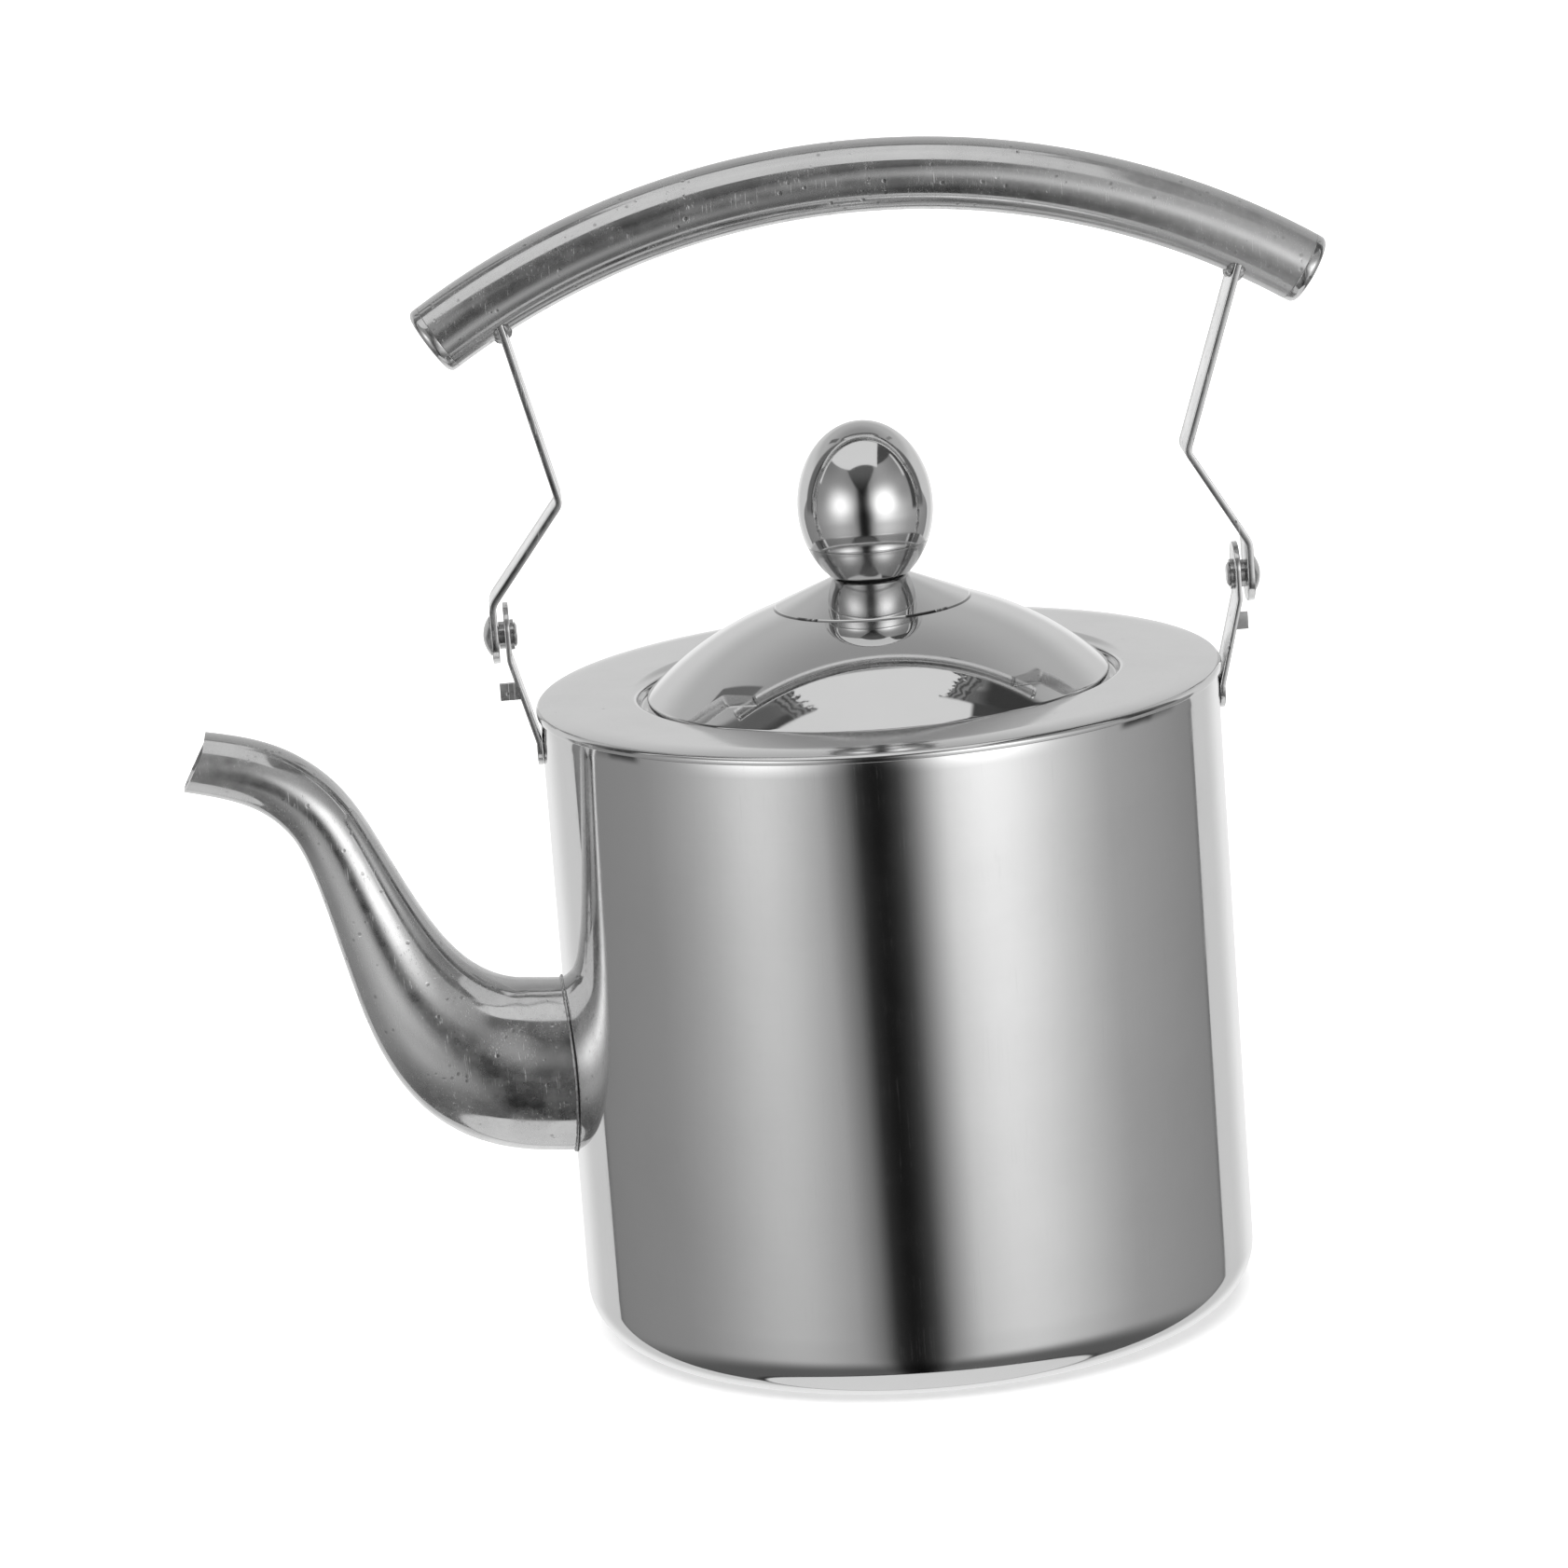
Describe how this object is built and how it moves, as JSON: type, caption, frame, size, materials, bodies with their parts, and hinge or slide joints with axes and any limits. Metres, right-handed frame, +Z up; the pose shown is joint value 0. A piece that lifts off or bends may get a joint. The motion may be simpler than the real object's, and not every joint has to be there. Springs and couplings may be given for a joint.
{
  "type": "gooseneck kettle",
  "caption": "Stainless steel kettle with a gooseneck spout, a lift-off domed lid with an egg-shaped knob, and a swinging bail with an arched tube grip.",
  "frame": {"origin": "centre of the flat base, on the surface the kettle stands on", "axes": "+Z up, -X towards the spout, Y along the bail's swing"},
  "size_m": [0.2392, 0.14, 0.2432],
  "materials": {
    "body_steel": "polished stainless steel, mirror-like",
    "deck_steel": "satin stainless steel",
    "lid_steel": "polished stainless steel",
    "knob_steel": "polished stainless steel with fine turning marks",
    "spout_steel": "roughly polished stainless steel with pits and scuffs",
    "grip_steel": "drawn stainless tube with lengthwise polishing lines",
    "strip_steel": "bright strip with rough sheared edges",
    "rivet_steel": "polished, darker steel",
    "weld": "fused weld metal, darker and lumpy",
    "fastener_steel": "plain machined steel",
    "gasket": "thin black gasket"
  },
  "bodies": {
    "kettle": {"body_shell": "body_steel", "deck_ring": "deck_steel", "spout_tube": "spout_steel", "spout_weld": "weld", "ear_front": "strip_steel", "ear_rear": "strip_steel", "rivet_front": "rivet_steel", "rivet_rear": "rivet_steel", "spacer_front": "rivet_steel", "spacer_rear": "rivet_steel", "rivet_washer_front": "rivet_steel", "rivet_washer_rear": "rivet_steel"},
    "bail": {"strap_front": "strip_steel", "strap_rear": "strip_steel", "strap_weld_front": "weld", "strap_weld_rear": "weld", "grip_tube": "grip_steel", "grip_cap_front": "grip_steel", "grip_cap_rear": "grip_steel"},
    "lid": {"lid_dome": "lid_steel", "lid_collar": "lid_steel", "knob_shell": "knob_steel", "knob_cup": "knob_steel", "knob_insert": "fastener_steel", "knob_screw": "fastener_steel", "knob_washer": "fastener_steel", "knob_seal": "gasket"}
  },
  "joints": [
    {"name": "bail_swing", "type": "hinge", "parent": "kettle", "child": "bail", "pos_m": [0, 0, 0.1484], "axis": [1, 0, 0], "range_deg": [-105, 105]},
    {"name": "lid_lift", "type": "slide", "parent": "kettle", "child": "lid", "axis": [0, 0, 1], "range_m": [0, 0.038]}
  ]
}
